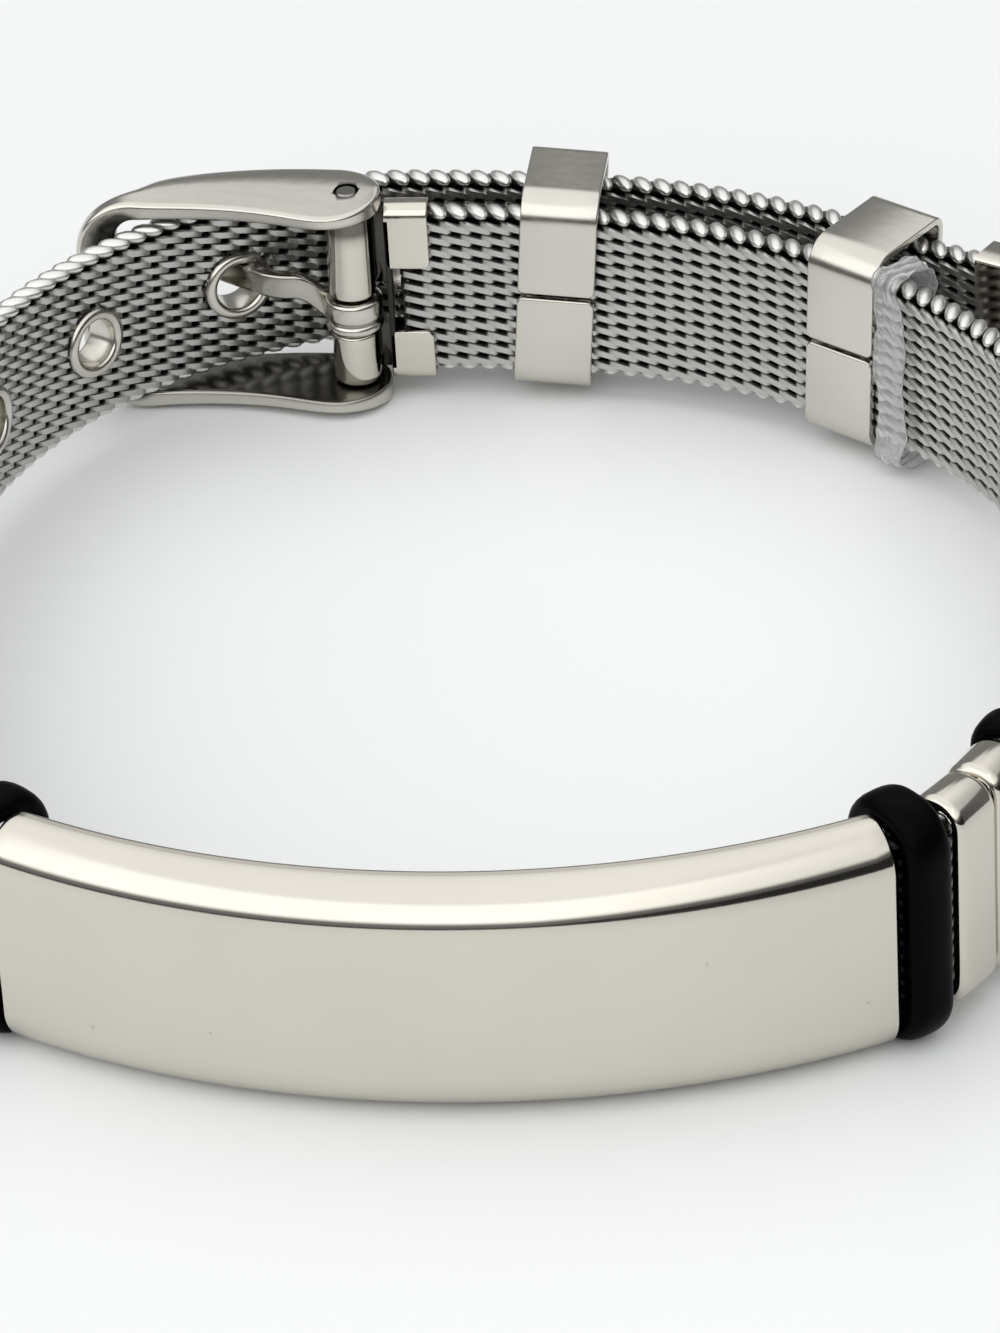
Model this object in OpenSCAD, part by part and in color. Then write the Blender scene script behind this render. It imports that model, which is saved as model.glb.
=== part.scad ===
// Wrist bracelet of woven steel mesh: a curved plate at the front, black silicone rings and
// polished beads on each side of it, and at the back a fastened pin buckle whose free end
// runs on outside the band through two keepers. The loop lies on its edge, +Z is up, and
// the plate is on the -Y side.

/* [Band] */
// Width of the mesh band
band_w = 10; // [9.6:0.1:10]
// Thickness of the mesh band
band_t = 1.4; // [1.2:0.1:1.5]
// Gap between the band and its free end where they overlap
layer_gap = 2.5; // [2.4:0.1:2.7]

/* [Plate] */
// Height of the plate
plate_h = 12.2; // [12:0.1:12.4]
// Thickness of the plate
plate_t = 2.8; // [2.7:0.1:3.2]
// Radius of the rounding along the plate's front edges
plate_round = 1.9; // [1.2:0.1:1.9]

/* [Rings and beads] */
// Width of a silicone ring along the band
ring_w = 2.1; // [1.8:0.1:2.2]
// Thickness of the silicone rings beside the plate
ring_t = 1.35; // [1.2:0.05:1.6]
// Thickness of the two silicone rings beyond the beads
far_ring_t = 1.05; // [0.9:0.05:1.3]
// How far a ring beside the plate stands off the band's inner face
ring_slack = 1.1; // [0:0.1:1.2]
// Width of a bead along the band
bead_w = 3; // [2.8:0.1:3]
// Height of a bead
bead_h = 11.4; // [11.2:0.1:11.8]
// Thickness of a bead through the band
bead_t = 3.2; // [3:0.1:3.6]

/* [Keepers] */
// Width of a keeper along the band
keeper_w = 4.2; // [3.4:0.1:4.4]
// Thickness of the keepers' sheet
keeper_wall = 0.45; // [0.4:0.05:0.6]
// Width of the seam where a keeper's two ends meet
seam_gap = 0.25; // [0.15:0.05:0.4]

/* [Buckle] */
// Thickness of a buckle cheek
cheek_t = 1.2; // [1:0.1:1.3]
// Radius of the round end of a cheek
cheek_r = 2.85; // [2.6:0.05:2.9]
// Radius of the axle
axle_r = 0.6; // [0.5:0.05:0.6]
// Radius of the bore that turns on the axle
knuckle_bore_r = 0.66; // [0.66:0.01:0.7]
// Radius of the clamp's knuckles
knuckle_r = 1.3; // [1.1:0.05:1.3]
// Thickness of the tongue
tongue_t = 0.8; // [0.6:0.1:0.8]
// Height of the tongue's strip
tongue_h = 1.2; // [1:0.1:1.2]

/* [Eyelets and tip] */
// Radius of an eyelet's hole
eyelet_r = 1.35; // [1.25:0.05:1.4]
// Radius of an eyelet's flange
flange_r = 2; // [1.9:0.05:2.1]
// Distance from one eyelet to the next along the band
eyelet_pitch = 9.9; // [9.7:0.1:10]
// Length of the metal tip on the free end
tip_len = 5; // [4:0.5:6]

/* [Hidden] */
$fn = 48;
arc_fn = 240;
// Clearance between a metal piece and the band it slides on
slip = 0.15;
// Clearance between a soft piece and the band
soft_gap = 0.15;
cut = 0.5;

ring_h = band_w + 2 * soft_gap + 2 * ring_t;
plate_angle = 57;
plate_r = 42.7;
// Distance from the plate's front to the band's middle line
plate_mid_y = 1.6;
plate_end_state = [plate_r * sin(plate_angle / 2),
                   plate_mid_y + plate_r * (1 - cos(plate_angle / 2)), plate_angle / 2];

// The band's middle line from each end of the plate, as tangent arcs that turn left.
// Columns: radius of the arc, angle it turns. Radius 0 is a straight of that length.
right_rows = [[6, 22], [20, 12], [49.3, 33], [31.9, 78.5], [91, 6.2]];
left_rows = [[6, 22], [24, 19], [72.9, 27.5], [27.5, 26], [26, 37.5], [14, 19.5]];
layer = band_t + layer_gap;
// The free end, from behind the buckle: it follows the band, then springs clear of it
tail_rows = [[91 + layer, 6], [31.9 + layer, 29], [-20, -6], [0, 8.5]];
loose_rows = concat(left_rows, tail_rows);

function row_length(row) = row[0] == 0 ? row[1] : row[0] * row[1] * PI / 180;
// State [x, y, heading] at distance s along one row that starts in state p
function step(p, row, s) =
    let (r = row[0], h = p[2])
    r == 0 ? [p.x + s * cos(h), p.y + s * sin(h), h]
    : let (a = s / r * 180 / PI)
      [p.x + r * (sin(h + a) - sin(h)), p.y + r * (cos(h) - cos(h + a)), h + a];
function along(rows, s, i = 0, p = plate_end_state) =
    let (l = row_length(rows[i]))
    s <= l || i == len(rows) - 1 ? step(p, rows[i], s)
    : along(rows, s - l, i + 1, step(p, rows[i], l));
function length_to(rows, n, i = 0) = i >= n ? 0 : row_length(rows[i]) + length_to(rows, n, i + 1);

right_length = length_to(right_rows, len(right_rows));
left_length = length_to(left_rows, len(left_rows));
loose_length = length_to(loose_rows, len(loose_rows));
band_end = along(right_rows, right_length);

// The loop's box is centred on the origin, and the rings and the buckle stand on z = 0
box_mid = [-0.3, 36.8];
module on_table() {
    translate([-box_mid.x, -box_mid.y, ring_h / 2]) children();
}

// Local frame on the band: x along it, y towards the loop's middle, z up
module place_at(rows, s) {
    p = along(rows, s);
    translate([p.x, p.y, 0]) rotate([0, 0, p[2]]) children();
}

module side(s) {
    mirror([s < 0 ? 1 : 0, 0, 0]) children();
}

// Shapes centred on the origin
module rounded(w, h, r) {
    square([w - 2 * r, h], center = true);
    square([w, h - 2 * r], center = true);
    for (x = [-1, 1], y = [-1, 1])
        translate([x * (w / 2 - r), y * (h / 2 - r)]) circle(r);
}

// A 2D shape in (depth, height) made a bar along the band
module bar(length) {
    rotate([90, 0, 90]) linear_extrude(length, center = true) children();
}

// The plate's own arc, from its left end to its right end
module plate_sweep() {
    translate([0, plate_mid_y + plate_r, 0])
        rotate([0, 0, -90 - plate_angle / 2])
        rotate_extrude(angle = plate_angle, $fn = arc_fn)
        translate([plate_r, 0]) children();
}

// Points at a distance out from the middle line of some rows, from s = 0 to their end
ribbon_step = 1.5;
function edge(rows, out) =
    let (l = length_to(rows, len(rows)), n = ceil(l / ribbon_step))
    [for (i = [0 : n]) let (p = along(rows, l * i / n)) [p.x + out * sin(p[2]), p.y - out * cos(p[2])]];
function flip(points) = [for (p = points) [-p.x, p.y]];
function backward(points) = [for (i = [len(points) - 1 : -1 : 0]) points[i]];
// The same along the plate's arc, between its two ends
function plate_edge(out) =
    [for (i = [1 : 27]) let (a = plate_angle * (i / 28 - 0.5))
        [(plate_r + out) * sin(a), plate_mid_y + plate_r - (plate_r + out) * cos(a)]];
// One face of the whole band, from the free end round to the clamp
function band_face(out) = concat(flip(backward(edge(loose_rows, out))), plate_edge(out),
                                 edge(right_rows, out));

eyelet_barrel_r = 1.6;
eyelet_gap = 0.08;
tongue_eyelet_s = left_length - 10;
module at_eyelet(i) {
    side(-1) place_at(loose_rows, tongue_eyelet_s + (i - 3) * eyelet_pitch)
        rotate([90, 0, 0]) children();
}

module mesh_band() {
    color("silver") on_table() difference() {
        linear_extrude(band_w, center = true)
            polygon(concat(band_face(band_t / 2), backward(band_face(-band_t / 2))));
        for (i = [1 : 4])
            at_eyelet(i) cylinder(r = eyelet_barrel_r + eyelet_gap, h = 4, center = true);
    }
}

plate_back_round = 0.3;
plate_slot_round = 0.3;
// The plate hangs a little on the band: its slot is higher than the band
plate_slip = 0.4;
plate_drop = 0.3;
function corner(centre, r, start) =
    [for (i = [0 : 6]) [centre.x + r * cos(start + 15 * i), centre.y + r * sin(start + 15 * i)]];
// A rectangle with its right corners rounded by r and its left ones by back_r
function rounded_points(w, h, r, back_r) = concat(
    corner([w / 2 - r, h / 2 - r], r, 0), corner([back_r - w / 2, h / 2 - back_r], back_r, 90),
    corner([back_r - w / 2, back_r - h / 2], back_r, 180), corner([w / 2 - r, r - h / 2], r, 270));
module plate_profile() {
    translate([0, -plate_drop]) difference() {
        translate([plate_mid_y - plate_t / 2, 0])
            polygon(rounded_points(plate_t, plate_h, plate_round, plate_back_round));
        polygon(rounded_points(band_t + 2 * slip, band_w + 2 * plate_slip,
                               plate_slot_round, plate_slot_round));
    }
}

module id_plate() {
    color("gainsboro") on_table() plate_sweep() plate_profile();
}

// Places along the band from the plate's end to the middle of each piece
piece_gap = 0.2;
bend_gap = 0.65;
ring_1_s = 0.3 + ring_w / 2;
bead_1_s = ring_1_s + ring_w / 2 + bend_gap + bead_w / 2;
bead_2_s = bead_1_s + bead_w + piece_gap;
ring_2_s = bead_2_s + bead_w / 2 + piece_gap + ring_w / 2;
ring_places = [[1, ring_1_s], [1, ring_2_s], [-1, ring_1_s], [-1, ring_2_s]];
bead_places = [[1, bead_1_s], [1, bead_2_s], [-1, bead_1_s], [-1, bead_2_s]];

module at_place(place) {
    side(place[0]) place_at(place[0] > 0 ? right_rows : loose_rows, place[1]) children();
}

// Rounded block with a slot for the band: its wall, its width, the roundings of its section
// and of its edges, and how much deeper the slot is on the loop's inner side
module slider(w, depth, h, section_r, edge_r, slot_gap, slack = 0) {
    difference() {
        translate([0, slack / 2, 0]) intersection() {
            bar(w) rounded(depth, h, section_r);
            linear_extrude(h, center = true) rounded(w, depth, edge_r);
            rotate([90, 0, 0]) linear_extrude(depth, center = true) rounded(w, h, edge_r);
        }
        translate([0, slack / 2, 0])
            cube([w + cut, band_t + 2 * slot_gap + slack, band_w + 2 * slot_gap], center = true);
    }
}

ring_round_share = 0.45;
ring_edge_r = 0.6;
module silicone_ring(i) {
    beside_plate = i % 2 == 1;
    slack = beside_plate ? ring_slack : 0;
    wall = soft_gap + (beside_plate ? ring_t : far_ring_t);
    depth = band_t + 2 * wall + slack;
    color([0.05, 0.05, 0.06]) on_table() at_place(ring_places[i - 1])
        slider(ring_w, depth, band_w + 2 * wall, ring_round_share * depth, ring_edge_r,
               soft_gap, slack);
}

bead_round = 1.5;
bead_edge_r = 0.5;
module bead(i) {
    color("gainsboro") on_table() at_place(bead_places[i - 1])
        slider(bead_w, bead_t, bead_h, bead_round, bead_edge_r, slip);
}

keeper_depth = 2 * band_t + layer_gap + 2 * 0.28;
keeper_height = band_w + 2 * 0.5;
keeper_inner_r = 0.3;
keeper_outer_r = 1;
keeper_outward = layer / 2;
keeper_lift = 0.2;
// Distances back from the band's end to the keepers and the tie
keeper_1_back = 8.82;
keeper_2_back = 26.42;
tie_back = 30.1;
// The loose keepers lean on the band and are turned a little on it, in degrees
keeper_1_lean = 4.7;
keeper_2_lean = 2.9;
keeper_turn = 4;
seam_round = 0.5;

// The seam in the (along, height) plane: a slot whose four corners are rounded off
module seam_cut() {
    square([keeper_w + cut, seam_gap], center = true);
    for (x = [-1, 1], y = [-1, 1])
        scale([x, y]) translate([keeper_w / 2 - seam_round, seam_gap / 2]) difference() {
            translate([0, -seam_gap / 4]) square(seam_round + seam_gap / 4);
            translate([0, seam_round]) circle(seam_round);
        }
}

module keeper(back, lean) {
    inner_face = keeper_depth / 2;
    color([0.79, 0.77, 0.73]) on_table() place_at(right_rows, right_length - back)
        translate([0, -keeper_outward, keeper_lift]) rotate([0, -lean, keeper_turn])
        difference() {
            bar(keeper_w) rounded(keeper_depth + 2 * keeper_wall,
                                  keeper_height + 2 * keeper_wall, keeper_outer_r);
            bar(keeper_w + cut) rounded(keeper_depth, keeper_height, keeper_inner_r);
            translate([0, inner_face - keeper_wall, 0]) rotate([-90, 0, 0])
                linear_extrude(3 * keeper_wall) seam_cut();
        }
}

// Back of the buckle: the band's end, the clamp on it and the axle beside it
clamp_wall = 0.3;
clamp_len = 2.4;
clamp_gap = 0.05;
upper_tab_h = 3.6;
lower_tab_h = 2.9;
clamp_inner_h = band_w + 2 * clamp_gap;
clamp_outer_h = clamp_inner_h + 2 * clamp_wall;
clamp_inner_t = band_t + 2 * clamp_gap;
pivot = [band_end.x - 2.28, band_end.y - 0.7];
// Heights of the two knuckles and of the tongue's collar between them, from the band's middle
collar_r = 1.5;
knuckle_spans = [[-5.2, -2.2], [0.05, 5.2]];
collar_span = [-2.05, -0.1];

module strap_clamp() {
    color("gainsboro") on_table() difference() {
        union() {
            translate([band_end.x + clamp_len / 2 - clamp_wall - clamp_gap, band_end.y, 0])
                difference() {
                    cube([clamp_len, clamp_inner_t + 2 * clamp_wall, clamp_outer_h],
                         center = true);
                    translate([clamp_wall, 0, 0])
                        cube([clamp_len, clamp_inner_t, clamp_inner_h], center = true);
                    translate([-clamp_len, -clamp_inner_t, -clamp_outer_h / 2 + lower_tab_h])
                        translate([clamp_len / 2 + clamp_wall, 0, 0])
                        cube([clamp_len, clamp_inner_t,
                              clamp_outer_h - upper_tab_h - lower_tab_h]);
                }
            for (span = knuckle_spans)
                translate([0, 0, span[0]]) {
                    translate([pivot.x, pivot.y, 0])
                        cylinder(r = knuckle_r, h = span[1] - span[0]);
                    translate([pivot.x, pivot.y + knuckle_r - clamp_wall, 0])
                        cube([band_end.x - clamp_gap - pivot.x - clamp_wall / 2, clamp_wall,
                              span[1] - span[0]]);
                }
        }
        translate([pivot.x, pivot.y, -band_w])
            cylinder(r = knuckle_bore_r, h = 2 * band_w);
    }
}

axle_recess = 0.25;
module axle() {
    color("silver") on_table() translate([pivot.x, pivot.y, 0])
        cylinder(r = axle_r, h = ring_h - 2 * axle_recess, center = true);
}

// The tongue's route in plan from the front of its collar, through the eyelet, to the bow.
// Columns as in the band's rows; a negative radius turns right.
tongue_rows = [[0, 1.6], [-3, -54], [0, 3.7], [3, 64], [0, 4.6]];
tongue_length = length_to(tongue_rows, len(tongue_rows));
tongue_start = [pivot.x - 0.9, pivot.y + 0.8, 200];
// The strip stands a little above the collar; between these distances a neck joins them
neck_from = 1;
neck_to = 2.4;
strip_mid_z = 0.05;
// Angle at which the strip falls from the collar to the eyelet
tongue_fall = 2;
module tongue() {
    collar_h = collar_span[1] - collar_span[0];
    neck_low = collar_span[0] + 0.35;
    color("silver") on_table() {
        difference() {
            translate([pivot.x, pivot.y, collar_span[0]])
                cylinder(r = collar_r, h = collar_h);
            translate([pivot.x, pivot.y, collar_span[0] - cut])
                cylinder(r = knuckle_bore_r, h = collar_h + 2 * cut);
        }
        translate([0, 0, neck_low]) linear_extrude(collar_span[1] - 0.1 - neck_low)
            strip_plan(0, neck_to, tongue_t - 0.24);
        translate([0, 0, neck_low]) linear_extrude(strip_mid_z + tongue_h / 2 - 0.1 - neck_low)
            strip_plan(neck_from, neck_to, tongue_t - 0.12);
        translate([pivot.x, 0, strip_mid_z]) rotate([0, -tongue_fall, 0])
            translate([-pivot.x, 0, -tongue_h / 2]) linear_extrude(tongue_h)
            strip_plan(neck_from, tongue_length, tongue_t);
    }
}

// The strip seen from above, between two distances along it
module strip_plan(from, to, thick) {
    n = ceil((to - from) / 0.5);
    states = [for (i = [0 : n]) along(tongue_rows, from + (to - from) * i / n, 0, tongue_start)];
    polygon(concat(
        [for (p = states) [p.x + thick / 2 * sin(p[2]), p.y - thick / 2 * cos(p[2])]],
        backward([for (p = states) [p.x - thick / 2 * sin(p[2]),
                                    p.y + thick / 2 * cos(p[2])]])));
}

cheek_centre = [-1, -0.35];
bow_x = -14.9;
bow_t = 1.35;
bow_front_y = -1.6;
bow_back_y = -0.4;
frame_corner_r = 3.4;

function bezier(a, b, c, d, n) =
    [for (i = [0 : n]) let (t = i / n, u = 1 - t)
        u * u * u * a + 3 * u * u * t * b + 3 * u * t * t * c + t * t * t * d];

// A cheek seen from above, from the pivot: a round end, a waist and the narrow bow
module cheek_outline() {
    translate(cheek_centre) circle(cheek_r);
    shoulder = [-10.4, 1.3];
    polygon(concat(
        bezier([cheek_centre.x, cheek_centre.y + cheek_r], [-5, 2.9], [-9, 2.1], shoulder, 12),
        bezier(shoulder, [-11.3, 0.8], [-11.9, bow_back_y], [-13.2, bow_back_y], 8),
        [[bow_x, bow_back_y], [bow_x, bow_front_y]],
        bezier([-11, bow_front_y + 0.2], [-4.6, -1.2], [-2.9, cheek_centre.y - cheek_r],
               [cheek_centre.x, cheek_centre.y - cheek_r], 16)));
}

// The frame seen from the side of the band: two cheeks and the bow with round corners
module frame_outline() {
    inner_h = ring_h - 2 * cheek_t;
    inner_r = frame_corner_r - bow_t;
    reach = cheek_centre.x + cheek_r + cut - bow_x;
    difference() {
        union() {
            translate([bow_x + frame_corner_r, -ring_h / 2])
                square([reach - frame_corner_r, ring_h]);
            translate([bow_x, -ring_h / 2 + frame_corner_r])
                square([2 * frame_corner_r, ring_h - 2 * frame_corner_r]);
            for (y = [-1, 1])
                translate([bow_x + frame_corner_r, y * (ring_h / 2 - frame_corner_r)])
                    circle(frame_corner_r);
        }
        translate([bow_x + bow_t + inner_r, -inner_h / 2]) square([reach, inner_h]);
        translate([bow_x + bow_t, -inner_h / 2 + inner_r])
            square([2 * inner_r, inner_h - 2 * inner_r]);
        for (y = [-1, 1])
            translate([bow_x + bow_t + inner_r, y * (inner_h / 2 - inner_r)])
                circle(inner_r);
    }
}

module buckle_frame() {
    color([0.75, 0.73, 0.7]) on_table() translate([pivot.x, pivot.y, 0]) difference() {
        intersection() {
            linear_extrude(ring_h, center = true) cheek_outline();
            rotate([90, 0, 0]) linear_extrude(4 * cheek_r, center = true) frame_outline();
        }
        cylinder(r = knuckle_bore_r, h = 2 * ring_h, center = true);
    }
}

flange_t = 0.22;
flange_gap = 0.19;
module eyelet(i) {
    barrel_h = band_t + 2 * flange_gap + 2 * flange_t;
    color("gainsboro") on_table() at_eyelet(i) difference() {
        union() {
            cylinder(r = eyelet_barrel_r, h = barrel_h, center = true);
            for (z = [-1, 1])
                translate([0, 0, z * (barrel_h - flange_t) / 2])
                    cylinder(r = flange_r, h = flange_t, center = true);
        }
        cylinder(r = eyelet_r, h = barrel_h + cut, center = true);
    }
}

tip_wall = 0.4;
tip_round = 2;
module band_tip() {
    outer_t = band_t + 2 * clamp_gap + 2 * tip_wall;
    outer_h = band_w + 2 * clamp_gap + 2 * tip_wall;
    color("gainsboro") on_table() side(-1)
        place_at(loose_rows, loose_length - tip_len / 2 + tip_wall + clamp_gap)
        difference() {
            intersection() {
                bar(tip_len) rounded(outer_t, outer_h, tip_wall);
                rotate([90, 0, 0]) linear_extrude(outer_t, center = true) {
                    translate([-tip_len / 2, -outer_h / 2])
                        square([tip_len - tip_round, outer_h]);
                    rounded(tip_len, outer_h, tip_round);
                }
            }
            translate([-tip_wall, 0, 0])
                cube([tip_len, band_t + 2 * clamp_gap, band_w + 2 * clamp_gap], center = true);
        }
}

tie_w = 1.8;
tie_t = 0.2;
module clear_tie() {
    color([0.9, 0.92, 0.93, 0.5]) on_table() place_at(right_rows, right_length - tie_back)
        difference() {
            bar(tie_w) rounded(band_t + 2 * slip + 2 * tie_t, band_w + 2 * slip + 2 * tie_t,
                               slip + tie_t);
            bar(tie_w + cut) square([band_t + 2 * slip, band_w + 2 * slip], center = true);
        }
}

mesh_band();
id_plate();
silicone_ring(1);  // silicone_ring_1
silicone_ring(2);  // silicone_ring_2
silicone_ring(3);  // silicone_ring_3
silicone_ring(4);  // silicone_ring_4
bead(1);  // bead_1
bead(2);  // bead_2
bead(3);  // bead_3
bead(4);  // bead_4
keeper(keeper_1_back, keeper_1_lean);  // keeper_1
keeper(keeper_2_back, keeper_2_lean);  // keeper_2
strap_clamp();
axle();
tongue();
buckle_frame();
eyelet(1);  // eyelet_1
eyelet(2);  // eyelet_2
eyelet(3);  // eyelet_3
eyelet(4);  // eyelet_4
band_tip();
clear_tie();
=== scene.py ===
"""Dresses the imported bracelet: woven band, polished plate, rings, beads, keepers and buckle."""

import math

import bpy
import numpy as np
from bpy.props import FloatProperty, FloatVectorProperty, IntProperty, PointerProperty
from mathutils import Matrix


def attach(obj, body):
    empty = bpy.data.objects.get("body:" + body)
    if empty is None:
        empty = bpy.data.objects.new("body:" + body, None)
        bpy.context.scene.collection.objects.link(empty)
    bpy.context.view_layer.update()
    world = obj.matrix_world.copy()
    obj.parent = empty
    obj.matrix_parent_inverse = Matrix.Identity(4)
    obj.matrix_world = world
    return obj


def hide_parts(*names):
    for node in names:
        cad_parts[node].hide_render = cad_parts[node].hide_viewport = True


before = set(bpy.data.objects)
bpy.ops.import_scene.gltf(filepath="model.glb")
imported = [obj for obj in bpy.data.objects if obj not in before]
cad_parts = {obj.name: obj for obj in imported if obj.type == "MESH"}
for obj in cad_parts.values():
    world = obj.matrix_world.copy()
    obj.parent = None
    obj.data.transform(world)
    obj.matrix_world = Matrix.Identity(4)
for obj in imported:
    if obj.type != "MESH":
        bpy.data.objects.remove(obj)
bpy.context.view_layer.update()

bl_info = {
    "name": "Mesh Bracelet",
    "version": (1, 0, 0),
    "blender": (4, 5, 0),
    "location": "3D View > Sidebar > Bracelet",
    "description": "Woven steel bracelet with a polished plate, rings, beads and a pin buckle",
    "category": "Add Mesh",
}

MM = 0.001

# The route of the band's middle line, in millimetres, as in the part's source: tangent arcs
# from each end of the plate. Columns are radius and angle; radius 0 is a straight.
PLATE_ANGLE = 57.0
PLATE_R = 42.7
PLATE_MID_Y = 1.6
LAYER = 3.9
RIGHT_ROWS = [(6, 22), (20, 12), (49.3, 33), (31.9, 78.5), (91, 6.2)]
LEFT_ROWS = [(6, 22), (24, 19), (72.9, 27.5), (27.5, 26), (26, 37.5), (14, 19.5)]
TAIL_ROWS = [(91 + LAYER, 6), (31.9 + LAYER, 29), (-20, -6), (0, 8.5)]
LOOSE_ROWS = LEFT_ROWS + TAIL_ROWS
TONGUE_ROWS = [(0, 1.6), (-3, -54), (0, 3.7), (3, 64), (0, 4.6)]
BOX_MID = (-0.3, 36.8)
HALF_H = 6.5
HALF_ANGLE = math.radians(PLATE_ANGLE / 2)
PLATE_END = (PLATE_R * math.sin(HALF_ANGLE),
             PLATE_MID_Y + PLATE_R * (1 - math.cos(HALF_ANGLE)), PLATE_ANGLE / 2)

# Sizes and places along the band, in millimetres, as in the part's source. A keeper has its
# distance back from the clamp's end of the band, and its lean in degrees.
BAND_W = 10.0
BAND_T = 1.4
SLIDE_GAP = 0.3
RING_W = 2.1
BEAD_W = 3.0
PLATE_GAP, RING_GAP, BEAD_GAP = 0.3, 0.65, 0.2
RING_1_S = PLATE_GAP + RING_W / 2
BEAD_1_S = RING_1_S + RING_W / 2 + RING_GAP + BEAD_W / 2
BEAD_2_S = BEAD_1_S + BEAD_W + BEAD_GAP
RING_2_S = BEAD_2_S + BEAD_W / 2 + BEAD_GAP + RING_W / 2
PLATE_DROP = 0.3
KEEPERS = [(8.82, 4.7), (26.42, 2.9)]
KEEPER_TURN = 4
KEEPER_RISE = 0.2
TIE_BACK = 30.3
EYELET_PITCH = 9.9
EYELET_BARREL_R = 1.6
TONGUE_BACK = 10
BORE_R = 0.66
PIN_AHEAD, PIN_FRONT = 2.28, 0.7

# Painted light: shares of the light, multiplied into the colour, for hidden or proud points
# of the weave and the clamp. Below one they are painted shade, above one a painted highlight.
CORE_LIGHT = 0.06
DEEP_WIRE_LIGHT = 0.15
KNOT_LIGHT = 1.4
UNDER_RING_LIGHT = 0.03


def row_lengths(rows):
    """Length of each row: its own number for a straight, else radius times angle."""
    radius, turn = np.array(rows, float).T
    return np.where(radius == 0, turn, radius * np.radians(turn))


def path_states(rows, s, start=PLATE_END):
    """Place and heading at distances s along rows of tangent arcs.

    On an arc of radius r the heading grows by distance / r, and the place moves by
    r (sin new - sin old) in x and r (cos old - cos new) in y.
    """
    s = np.asarray(s, float)
    lengths = row_lengths(rows)
    begins = np.concatenate([[0.0], np.cumsum(lengths)[:-1]])
    x, y, h = start[0], start[1], math.radians(start[2])
    first = []
    for (radius, _), length in zip(rows, lengths):
        first.append((x, y, h))
        if radius == 0:
            x, y = x + length * math.cos(h), y + length * math.sin(h)
        else:
            turned = h + length / radius
            x += radius * (math.sin(turned) - math.sin(h))
            y += radius * (math.cos(h) - math.cos(turned))
            h = turned
    row = np.clip(np.searchsorted(begins, s, side="right") - 1, 0, len(rows) - 1)
    radius = np.array(rows, float)[row, 0]
    ds = s - begins[row]
    x0, y0, h0 = np.moveaxis(np.array(first)[row], -1, 0)
    straight = radius == 0
    r = np.where(straight, 1.0, radius)
    h = np.where(straight, h0, h0 + ds / r)
    x = np.where(straight, x0 + ds * np.cos(h0), x0 + r * (np.sin(h) - np.sin(h0)))
    y = np.where(straight, y0 + ds * np.sin(h0), y0 + r * (np.cos(h0) - np.cos(h)))
    return x, y, h


def on_table(x, y, z):
    """Millimetres about the loop's middle line to metres in the part's frame."""
    return np.stack([x - BOX_MID[0], y - BOX_MID[1], z + HALF_H], axis=-1) * MM


def lay_along(rows, points, side):
    """Bends points with the band: columns are distance along it, depth and height."""
    x, y, h = path_states(rows, points[..., 0])
    depth = points[..., 1]
    return on_table(side * (x - depth * np.sin(h)), y + depth * np.cos(h), points[..., 2])


def set_down(rows, s, points, side=1):
    """Puts a rigid piece on the band at distance s: columns are along, depth and height."""
    x, y, h = (float(v[0]) for v in path_states(rows, np.array([s])))
    along, depth = points[..., 0], points[..., 1]
    return on_table(side * (x + along * math.cos(h) - depth * math.sin(h)),
                    y + along * math.sin(h) + depth * math.cos(h), points[..., 2])


RIGHT_LENGTH = float(row_lengths(RIGHT_ROWS).sum())
LEFT_LENGTH = float(row_lengths(LEFT_ROWS).sum())
LOOSE_LENGTH = float(row_lengths(LOOSE_ROWS).sum())
BAND_END = tuple(float(v[0]) for v in path_states(RIGHT_ROWS, np.array([RIGHT_LENGTH])))[:2]
PIVOT = (BAND_END[0] - PIN_AHEAD, BAND_END[1] - PIN_FRONT)
EYELETS_S = [LEFT_LENGTH - TONGUE_BACK + (i - 3) * EYELET_PITCH for i in (1, 2, 3, 4)]


def part_way(values, start, stop):
    """How far values are from start to stop, held at 0 and 1 beyond them."""
    return np.clip((values - start) / (stop - start), 0, 1)


def eased(share):
    """A share from 0 to 1 that starts and ends slowly, 3 t^2 - 2 t^3."""
    return share ** 2 * (3 - 2 * share)


def drawn_in(r, near):
    """How far a corner of radius r draws in at a distance near < r from the end.

    That is r - sqrt(r^2 - d^2) with d = r - near.
    """
    d = np.clip(r - near, 0, r)
    return r - np.sqrt(np.maximum(r ** 2 - d ** 2, 0))


def arc(centre, r, angle):
    """Points of a circle at the given angles, centre + r (cos, sin)."""
    return np.asarray(centre, float) + r * np.stack([np.cos(angle), np.sin(angle)], -1)


def mirrored(upper, *middle):
    """A line in (depth, height), what joins it to its mirror image, and that run backwards."""
    return np.concatenate([upper, *middle, upper[::-1] * np.array([1, -1])])


def gone_along(line):
    """Distance from a line's start to each of its points."""
    return np.concatenate([[0], np.cumsum(np.linalg.norm(np.diff(line, axis=0), axis=1))])


def resampled(line, at):
    """A line's places at the distances at from its start."""
    gone = gone_along(line)
    return np.stack([np.interp(at, gone, line[:, k]) for k in (0, 1)], -1)


def bezier(a, b, c, d, steps=60):
    """Cubic curve u^3 a + 3 u^2 t b + 3 u t^2 c + t^3 d, with u = 1 - t."""
    t = np.linspace(0, 1, steps)[:, None]
    u = 1 - t
    return (u ** 3 * np.array(a) + 3 * u ** 2 * t * np.array(b)
            + 3 * u * t ** 2 * np.array(c) + t ** 3 * np.array(d))


def grid_faces(rows, columns, wrap_rows=False):
    """Quads of a grid of rows x columns points, closed along its columns."""
    i = np.arange(rows if wrap_rows else rows - 1)
    i, j = np.meshgrid(i, np.arange(columns), indexing="ij")
    i2, j2 = (i + 1) % rows, (j + 1) % columns
    quads = np.stack([i * columns + j, i * columns + j2, i2 * columns + j2, i2 * columns + j], -1)
    return quads.reshape(-1, 4)


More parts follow.
